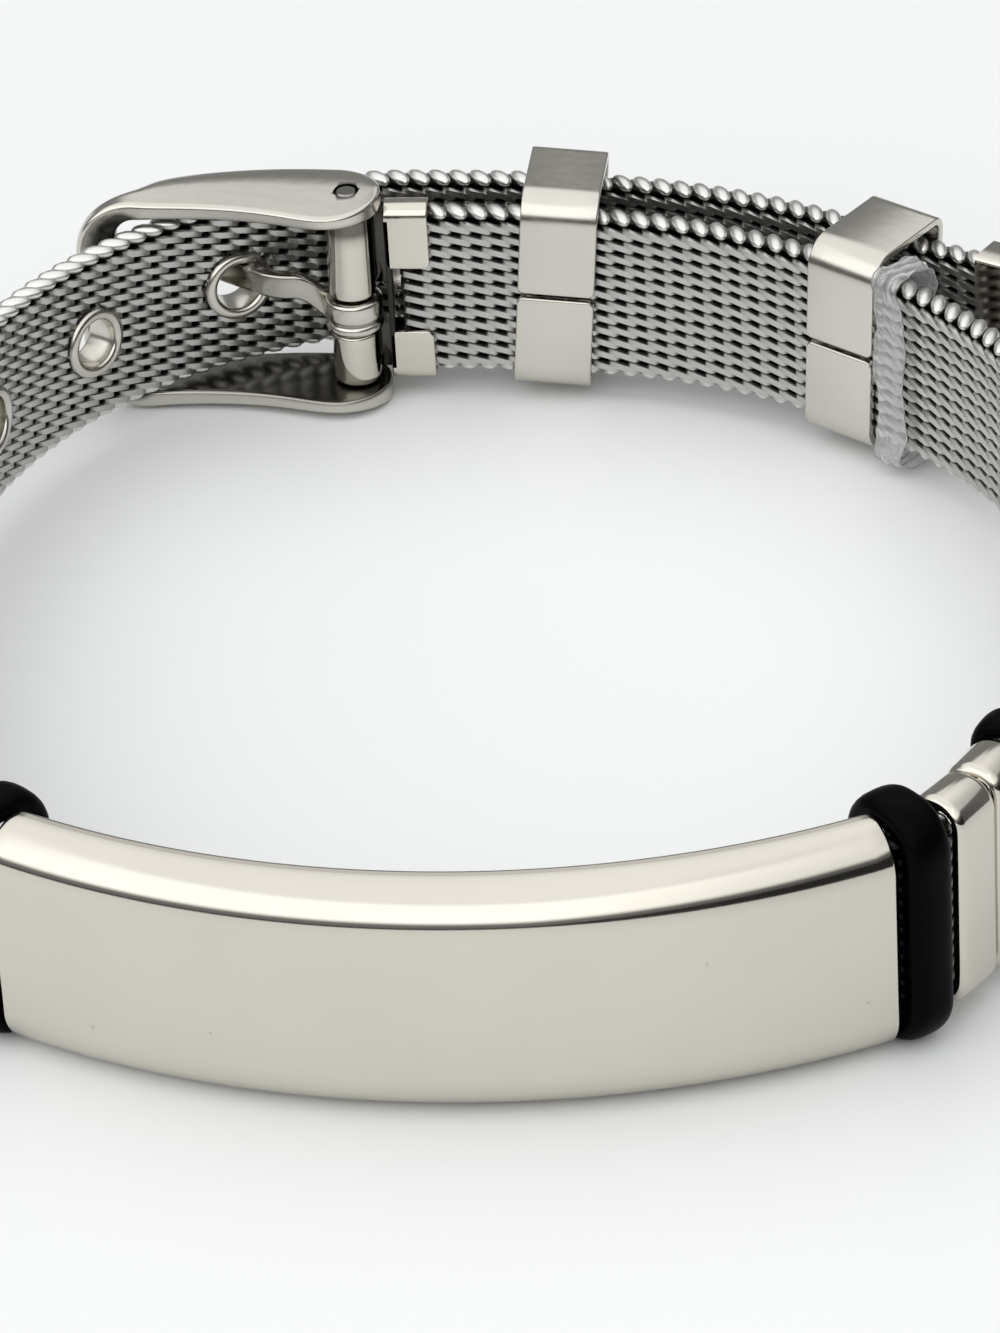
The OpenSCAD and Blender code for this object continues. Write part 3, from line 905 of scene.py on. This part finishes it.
class BRACELET_OT_rings(bpy.types.Operator):
    """Adds the four black silicone rings"""

    bl_idname = "bracelet.add_rings"
    bl_label = "Silicone rings"

    def execute(self, context):
        settings = context.scene.bracelet_ring
        wider, nearer = 0.3, 0.03
        near = self.ring(settings.thickness / MM, settings.slack / MM, RING_W + wider)
        far = self.ring(settings.far_thickness / MM, 0, RING_W)
        both_sides("ring", [(RING_1_S - nearer, near), (RING_2_S, far)],
                   "black_silicone", "silicone_ring")
        return {"FINISHED"}

    def ring(self, t, slack, width):
        """A soft round section, t thick and width wide, carried round the band's section.

        slack is how much deeper the loop is on the inner side of the band.
        """
        depth, height = BAND_T + SLIDE_GAP + 2 * t + slack, BAND_W + SLIDE_GAP + 2 * t
        points, normals = rounded_loop(depth, height, 0.45 * depth, steps=12, spans=8)
        points = points + np.array([slack / 2, 0])
        angle = np.arange(24) * 2 * math.pi / 24
        along = width / 2 * np.sign(np.cos(angle)) * np.abs(np.cos(angle)) ** 0.72
        out = t / 2 * (np.sign(np.sin(angle)) * np.abs(np.sin(angle)) ** 0.85 - 1)
        return with_x(along, points[:, None] + out[None, :, None] * normals[:, None])


class BRACELET_OT_beads(bpy.types.Operator):
    """Adds the four polished beads"""

    bl_idname = "bracelet.add_beads"
    bl_label = "Beads"

    def execute(self, context):
        settings = context.scene.bracelet_bead
        corner_r, hole_r = 1.5, 0.3
        outer = rounded_loop(settings.thickness / MM, settings.height / MM, corner_r,
                             steps=12, spans=8)
        inner = rounded_loop(BAND_T + SLIDE_GAP, BAND_W + SLIDE_GAP, hole_r,
                             steps=12, spans=8)[0]
        bead = rounded_sleeve(outer, inner, BEAD_W, settings.rim / MM, steps=6)
        both_sides("slide_bead", [(BEAD_1_S, bead), (BEAD_2_S, bead)], "polished_steel", "bead")
        return {"FINISHED"}


class BRACELET_OT_keepers(bpy.types.Operator):
    """Bends the two keepers from strips of satin sheet that meet in a butt seam"""

    bl_idname = "bracelet.add_keepers"
    bl_label = "Keepers"

    def execute(self, context):
        settings = context.scene.bracelet_keeper
        wall, width, seam = settings.wall / MM, settings.width / MM, settings.seam / MM
        depth_gap, height_gap = 0.56, 1.0
        half = (BAND_T + LAYER + depth_gap + wall) / 2
        top = (BAND_W + height_gap + wall) / 2
        angle = np.linspace(0, math.pi / 2, 14)
        front, back = (arc((half - r, top - r), r, angle) for r in
                       (settings.fold / MM - wall / 2, settings.back_fold / MM - wall / 2))
        line = mirrored(np.concatenate([[(half, seam / 2)], front, back[::-1] * (-1, 1)]))
        strip = bent_strip(dense_line(line), width, wall, corner_r=0.42)
        turn = math.radians(KEEPER_TURN)
        for i, (back_s, lean) in enumerate(KEEPERS, 1):
            tilt = math.radians(-lean)
            x = strip[..., 0] * math.cos(tilt) + strip[..., 2] * math.sin(tilt)
            z = -strip[..., 0] * math.sin(tilt) + strip[..., 2] * math.cos(tilt)
            y = strip[..., 1]
            local = np.stack([x * math.cos(turn) - y * math.sin(turn),
                              x * math.sin(turn) + y * math.cos(turn) - LAYER / 2,
                              z + KEEPER_RISE], -1)
            points = set_down(RIGHT_ROWS, RIGHT_LENGTH - back_s, local)
            new_piece(f"bent_keeper_{i}", [capped_grid(points)], "satin_steel", [f"keeper_{i}"], 50)
        return {"FINISHED"}


class BRACELET_OT_buckle(bpy.types.Operator):
    """Adds the satin buckle frame, the pin in its bore and the tongue"""

    bl_idname = "bracelet.add_buckle"
    bl_label = "Buckle"

    def execute(self, context):
        shape, light = self.frame_shape(context.scene.bracelet_buckle)
        piece = new_piece("buckle", [capped_grid(shape)], "satin_steel", ["buckle_frame"],
                          light=[light])
        self.bore(context, piece)
        pin_r, half = 0.6, 6.3
        pin = [(0.02, -half), (pin_r - 0.1, -half), (pin_r, 0.1 - half), (pin_r, half - 0.1),
               (pin_r - 0.1, half), (0.02, half)]
        # Painted shade: the pin is darkened as the shade in its bore.
        new_piece("pin", [on_pin(pin, 24)], "polished_steel", ["axle"], sharp=40, light=[0.45],
                  look="satin_steel")
        self.tongue()
        return {"FINISHED"}

    def frame_shape(self, settings):
        """Rings round a path from one cheek's round end, round the bow, to the other's.

        Each ring is a rounded rectangle: its depth comes from the cheek's outline at that x,
        and its thickness from the inner to the outer line of the frame's side view. The outer
        face falls evenly to the front, and by crown more towards its back edge. With the
        points goes painted light, multiplied into the colour: painted shade on the inner faces,
        darkest on the bow's inner part.
        """
        cheek_t, edge = settings.cheek / MM, settings.edge / MM
        bow_x, bow_t, corner = -14.9, 2.3, 3.4
        bow_front, bow_back = -1.6, -0.4
        cx, cy, r = -1.0, 0.0, 2.85
        shoulder = (-10.5, 1.5)
        high = np.concatenate([
            bezier((cx, cy + r), (-5, 3.2), (-9, 2.5), shoulder),
            bezier(shoulder, (-11.3, 0.8), (-11.9, bow_back), (-13.2, bow_back))])
        low = bezier((cx, cy - r), (-2.9, cy - r), (-4.6, -1.2), (-11, bow_front))
        theta = np.linspace(math.pi / 2, 0, 24)
        cheek_x = np.concatenate([(cx + r * np.sin(theta))[:-1],
                                  np.linspace(cx, bow_x + corner, 46)])
        trim = drawn_in(edge, cx + r - cheek_x)
        phi = np.radians(np.linspace(90, 180, 17)[1:])
        middle = bow_x + corner
        half_out = np.concatenate([np.stack([cheek_x, HALF_H - trim], -1),
                                   arc((middle, HALF_H - corner), corner, phi)])
        half_in = np.concatenate([np.stack([cheek_x, HALF_H - cheek_t + trim], -1),
                                  arc((middle, HALF_H - cheek_t - corner + bow_t),
                                      corner - bow_t, phi)])
        z = np.linspace(HALF_H - corner, -(HALF_H - corner), 14)[1:-1]
        outer = mirrored(half_out, np.stack([np.full(len(z), bow_x), z], -1))
        inner = mirrored(half_in, np.stack([np.full(len(z), bow_x + bow_t), z], -1))
        x = (outer[:, 0] + inner[:, 0]) / 2
        top = np.interp(x, high[::-1, 0], high[::-1, 1], left=bow_back)
        bottom = np.interp(x, low[::-1, 0], low[::-1, 1], left=bow_front)
        round_end = np.sqrt(np.maximum(r ** 2 - np.clip(x - cx, 0, r) ** 2, 1e-6))
        top = np.where(x > cx, cy + round_end, top)
        bottom = np.where(x > cx, cy - round_end, bottom)
        thick = np.linalg.norm(outer - inner, axis=1)
        half = (top - bottom) / 2
        r_edge = np.minimum(edge, 0.96 * np.minimum(thick / 2, half))
        loops = np.stack([rounded_loop(2 * h, w, e, steps=5, spans=11)[0]
                          for h, w, e in zip(half, thick, r_edge)])
        across = loops[..., 0] / half[:, None]
        share = loops[..., 1] / thick[:, None] + 0.5
        fall = (settings.tilt * (1 - across) * half[:, None]
                + settings.crown / MM * part_way(across, 0.2, 1) ** 2)
        share = share * (1 - fall / thick[:, None])
        xz = inner[:, None] + (outer - inner)[:, None] * share[..., None]
        y = (top + bottom)[:, None] / 2 + loops[..., 0]
        # Painted shade: the inner faces get little light, the bow's inner part least.
        begin = 0.5 * part_way(x, -11.2, -12.4)[:, None]
        least = np.where(begin > 0, 0.1, 0.3)  # the bow's inner part is darker than a cheek's
        light = least + (1 - least) * part_way(share, begin, begin + 0.25)
        return on_table(PIVOT[0] + xz[..., 0], PIVOT[1] + y, xz[..., 1]), light.ravel()

    def bore(self, context, piece):
        """Cuts the pin's bore through both cheeks."""
        bore_r, half = 0.68, 8
        points, faces = on_pin([(0.01, -half), (bore_r, -half), (bore_r, half), (0.01, half)], 36)
        points = points.reshape(-1, 3)
        mesh = bpy.data.meshes.new("drill")
        mesh.from_pydata(points.tolist(), [],
                         [f for group in outward(points, faces) for f in group.tolist()])
        cutter = bpy.data.objects.new("drill", mesh)
        context.scene.collection.objects.link(cutter)
        cut = piece.modifiers.new("bore", "BOOLEAN")
        cut.operation = "DIFFERENCE"
        cut.solver = "EXACT"
        cut.object = cutter
        context.view_layer.update()
        whole = piece.evaluated_get(context.evaluated_depsgraph_get())
        result = bpy.data.meshes.new_from_object(whole)
        piece.modifiers.clear()
        piece.data = result
        result.set_sharp_from_angle(angle=math.radians(48))
        bpy.data.objects.remove(cutter)

    def tongue(self):
        """The collar on the pin, and a strip that climbs to its eyelet and lies on the bow."""
        low, high, collar_r, groove_r = -2.05, -0.1, 1.6, 1.45
        shells = [closed_grid(about_pin(profile)) for profile in (
            ring_wall(BORE_R, collar_r, low, low + 0.62, 0.25),
            ring_wall(BORE_R, collar_r, low + 0.7, high, 0.25),
            ring_wall(BORE_R, groove_r, low + 0.3, high - 0.3, 0.02))]
        length, tip = float(row_lengths(TONGUE_ROWS).sum()), 0.6
        s = np.concatenate([np.linspace(0, length - tip, 60),
                            length - tip + tip * np.sin(np.linspace(0.2, math.pi / 2, 8))])
        x, y, h = path_states(TONGUE_ROWS, s, (PIVOT[0] - 0.9, PIVOT[1] + 0.8, 200))
        left = part_way(s, length, length - tip)
        taper = np.sqrt(np.maximum(1 - (1 - left) ** 2, 0.0025))
        climb = eased(part_way(s, 0.3, 2.4))
        strip_t, strip_h, narrower, edge_r = 0.8, 1.9, 0.4, 0.22
        collar_z, lift = -1.05, 1.5
        loop = section_loop(strip_t * taper, (strip_h - narrower * climb) * taper, edge_r, 3)
        px = x[:, None] - loop[..., 0] * np.sin(h)[:, None]
        py = y[:, None] + loop[..., 0] * np.cos(h)[:, None]
        level = (collar_z + lift * climb)[:, None]
        shells.append(capped_grid(on_table(px, py, level + loop[..., 1])))
        # Painted shade: the collar's groove is half as light and the strip a little darker.
        new_piece("buckle_tongue", shells, "polished_steel", ["tongue"], sharp=50,
                  light=[1, 1, 0.5, 0.72], look="satin_steel")


class BRACELET_OT_clamp(bpy.types.Operator):
    """Folds the end clamp over the band and rolls its two knuckles round the pin"""

    bl_idname = "bracelet.add_clamp"
    bl_label = "End clamp"

    def execute(self, context):
        r = context.scene.bracelet_buckle.knuckle / MM
        wall, gap, length, front_r, back_r = 0.3, 0.05, 2.4, 0.55, 0.9
        half_t = BAND_T / 2 + gap + wall / 2
        half_h = BAND_W / 2 + gap + wall / 2
        mid_x = BAND_END[0] + length / 2 - wall - gap
        angle = np.linspace(0, math.pi / 2, 9)
        back, front = (arc((half_t - bend, half_h - bend), bend, angle)
                       for bend in (back_r, front_r))
        shells = []
        for level, tab in ((1, 3.6), (-1, 2.9)):
            line = np.concatenate([[[half_t, half_h - tab]], back, front[::-1] * (-1, 1),
                                   [[-half_t, half_h - tab]]])
            strip = bent_strip(dense_line(line, step=0.08, end_step=0.04), length, wall,
                               corner_r=0.42, edge_r=0.07)
            shells.append(capped_grid(on_table(mid_x + strip[..., 0], BAND_END[1] + strip[..., 1],
                                               level * strip[..., 2])))
        shells.append(self.block(mid_x - length / 2 + wall / 2, BAND_END[1], 0, wall,
                                 2 * half_t + wall, 2 * half_h - 1.2))
        # Painted shade: the end block is almost black, the sheets from the knuckles to the clamp
        # are dark, and each knuckle is darker where it meets a cheek, as a painted shadow.
        light = [1, 1, CORE_LIGHT]
        shade, sheet_light = 0.25, 0.1
        reach = BAND_END[0] - gap - PIVOT[0] - wall / 2
        for low, high in ((-5.2, -2.2), (0.05, 5.2)):
            ring = about_pin(self.knuckle(r, low, high), 44)
            shells.append(closed_grid(ring))
            z = ring[..., 2].ravel() / MM - HALF_H
            lit = np.minimum(part_way(z, 4.1, 3.6), part_way(z, -5.2, -4.95))
            light += [shade + (1 - shade) * lit, sheet_light]
            shells.append(self.block(PIVOT[0] + reach / 2, PIVOT[1] + r - wall / 2,
                                     (low + high) / 2, reach, wall, high - low - 0.1))
        new_piece("end_clamp", shells, "polished_steel", ["strap_clamp"], 50, light)
        return {"FINISHED"}

    def knuckle(self, r, low, high):
        """A knuckle's profile, its long sides split so that the painted light can change along
        them.
        """
        profile = ring_wall(BORE_R, r, low, high, edge_r=0.16)
        step = np.linspace(0, 1, 12)[1:-1, None]
        return np.concatenate([
            np.concatenate([[a], a + (b - a) * step]) if abs(a - b)[1] > 1 else [a]
            for a, b in zip(profile, np.roll(profile, -1, 0))])

    def block(self, x, y, z, width, depth, height):
        """A sheet with rounded edges, as rings along its height."""
        r = 0.06
        inset = np.array([1, 0.3, 0, 0, 0.3, 1]) * r
        level = np.array([-height / 2, r * 0.3 - height / 2, r - height / 2,
                          height / 2 - r, height / 2 - r * 0.3, height / 2])
        loop = section_loop(width - 2 * inset, depth - 2 * inset, r, 3)
        return capped_grid(on_table(x + loop[..., 0], y + loop[..., 1],
                                    z + np.repeat(level[:, None], loop.shape[1], 1)))


class BRACELET_OT_eyelets(bpy.types.Operator):
    """Adds the rolled eyelets of the free end"""

    bl_idname = "bracelet.add_eyelets"
    bl_label = "Eyelets"

    def execute(self, context):
        settings = context.scene.bracelet_eyelet
        hole, flange = settings.hole / MM, settings.flange / MM
        gap, flange_t, rim = 0.19, 0.22, 0.24
        half = BAND_T / 2 + gap + flange_t
        angle = np.linspace(0, math.pi, 9)
        cap = np.stack([(hole + flange) / 2 - (flange - hole) / 2 * np.cos(angle),
                        half - rim + rim * np.sin(angle)], -1)
        upper = np.concatenate([cap, [(flange - 0.05, half - rim), (EYELET_BARREL_R, half - rim)]])
        local = revolved(mirrored(upper), 48)[..., [0, 2, 1]]
        for i, s in enumerate(EYELETS_S[:settings.count], 1):
            new_piece(f"rolled_eyelet_{i}", [closed_grid(set_down(LOOSE_ROWS, s, local, -1))],
                      "polished_steel", [f"eyelet_{i}"], sharp=60, look="satin_steel")
        return {"FINISHED"}


class BRACELET_OT_tip(bpy.types.Operator):
    """Adds the metal tip of the free end"""

    bl_idname = "bracelet.add_tip"
    bl_label = "Tip"

    def execute(self, context):
        length, wall, corner, edge = 5.0, 0.4, 2.0, 0.3
        depth, height = BAND_T + 0.9, BAND_W + 0.9
        half = length / 2
        x = np.concatenate([[0.6 - half, 0.02 - half, 0.1 - half],
                            np.linspace(0.3 - half, half - corner, 6),
                            half - corner + corner * np.sin(np.linspace(0.15, math.pi / 2, 12))])
        tall = height - 2 * drawn_in(corner, half - x)
        deep = depth - 2 * drawn_in(edge, half - x)
        deep[:2], tall[:2] = (BAND_T + 0.1, depth - 0.25), (BAND_W + 0.1, height - 0.25)
        local = with_x(x[:, None], section_loop(deep, tall, edge))
        s = LOOSE_LENGTH - half + wall + 0.05
        new_piece("free_end_tip", [capped_grid(set_down(LOOSE_ROWS, s, local, -1))],
                  "polished_steel", ["band_tip"], 50)
        return {"FINISHED"}


class BRACELET_OT_tie(bpy.types.Operator):
    """Adds the creased loop of clear plastic beside the second keeper"""

    bl_idname = "bracelet.add_tie"
    bl_label = "Clear tie"

    def execute(self, context):
        width = context.scene.bracelet_tie.width / MM
        around, across, film, loose, corner_r = 160, 24, 0.07, 0.7, 0.35
        loop, normals = rounded_loop(BAND_T + loose, BAND_W + loose, corner_r, steps=8, spans=10)
        gone = gone_along(loop)
        at = np.linspace(0, gone[-1], around, endpoint=False)
        normals = np.stack([np.interp(at, gone, normals[:, k]) for k in (0, 1)], -1)
        loop = resampled(loop, at)
        u = (at / gone[-1] * 2 * math.pi)[:, None]
        v = np.linspace(-1, 1, across)[None]
        folds = (0.10 * np.sin(6 * u + 3.5 * v) + 0.02 * np.sin(23 * u - 4 * v)
                 + 0.07 * np.sin(5 * v + 3 * np.sin(4 * u)))
        lump = np.clip(np.abs(loop[:, 1:]) / (BAND_W / 2) - 0.85, 0, 0.2)
        rise = 0.14 + np.abs(folds) * (1 + 6 * lump) + 0.8 * lump
        along = width / 2 * v * (1 + 0.14 * np.sin(5 * u + v) - lump)
        sheet, back = (with_x(along, loop[:, None] + out[..., None] * normals[:, None])
                       for out in (rise, rise - film))
        local = np.concatenate([sheet, back[:, ::-1]], 1)
        points = set_down(RIGHT_ROWS, RIGHT_LENGTH - TIE_BACK, local)
        new_piece("creased_tie", [closed_grid(points)], "clear_plastic", ["clear_tie"])
        return {"FINISHED"}


class BRACELET_PT_panel(bpy.types.Panel):
    """Lists the bracelet's pieces"""

    bl_idname = "BRACELET_PT_panel"
    bl_label = "Bracelet"
    bl_space_type = "VIEW_3D"
    bl_region_type = "UI"
    bl_category = "Bracelet"

    def draw(self, context):
        for operator in OPERATORS:
            self.layout.operator(operator.bl_idname)
        for name in SETTINGS:
            box = self.layout.box()
            group = getattr(context.scene, name)
            for key in group.__annotations__:
                box.prop(group, key)


SETTINGS = {
    "bracelet_stage": StageSettings,
    "bracelet_weave": WeaveSettings,
    "bracelet_plate": PlateSettings,
    "bracelet_ring": RingSettings,
    "bracelet_bead": BeadSettings,
    "bracelet_keeper": KeeperSettings,
    "bracelet_buckle": BuckleSettings,
    "bracelet_eyelet": EyeletSettings,
    "bracelet_tie": TieSettings,
}
OPERATORS = (
    BRACELET_OT_stage,
    BRACELET_OT_mesh_band,
    BRACELET_OT_plate,
    BRACELET_OT_rings,
    BRACELET_OT_beads,
    BRACELET_OT_keepers,
    BRACELET_OT_buckle,
    BRACELET_OT_clamp,
    BRACELET_OT_eyelets,
    BRACELET_OT_tip,
    BRACELET_OT_tie,
)


def register():
    for group in SETTINGS.values():
        bpy.utils.register_class(group)
    for name, group in SETTINGS.items():
        setattr(bpy.types.Scene, name, PointerProperty(type=group))
    for operator in OPERATORS:
        bpy.utils.register_class(operator)
    bpy.utils.register_class(BRACELET_PT_panel)


def unregister():
    bpy.utils.unregister_class(BRACELET_PT_panel)
    for operator in reversed(OPERATORS):
        bpy.utils.unregister_class(operator)
    for name, group in SETTINGS.items():
        delattr(bpy.types.Scene, name)
        bpy.utils.unregister_class(group)


def main():
    register()
    bpy.ops.bracelet.add_stage()
    bpy.ops.bracelet.add_mesh_band()
    bpy.ops.bracelet.add_plate()
    bpy.ops.bracelet.add_rings()
    bpy.ops.bracelet.add_beads()
    bpy.ops.bracelet.add_keepers()
    bpy.ops.bracelet.add_buckle()
    bpy.ops.bracelet.add_clamp()
    bpy.ops.bracelet.add_eyelets()
    bpy.ops.bracelet.add_tip()
    bpy.ops.bracelet.add_tie()
    bpy.context.view_layer.update()


if __name__ == "__main__":
    main()
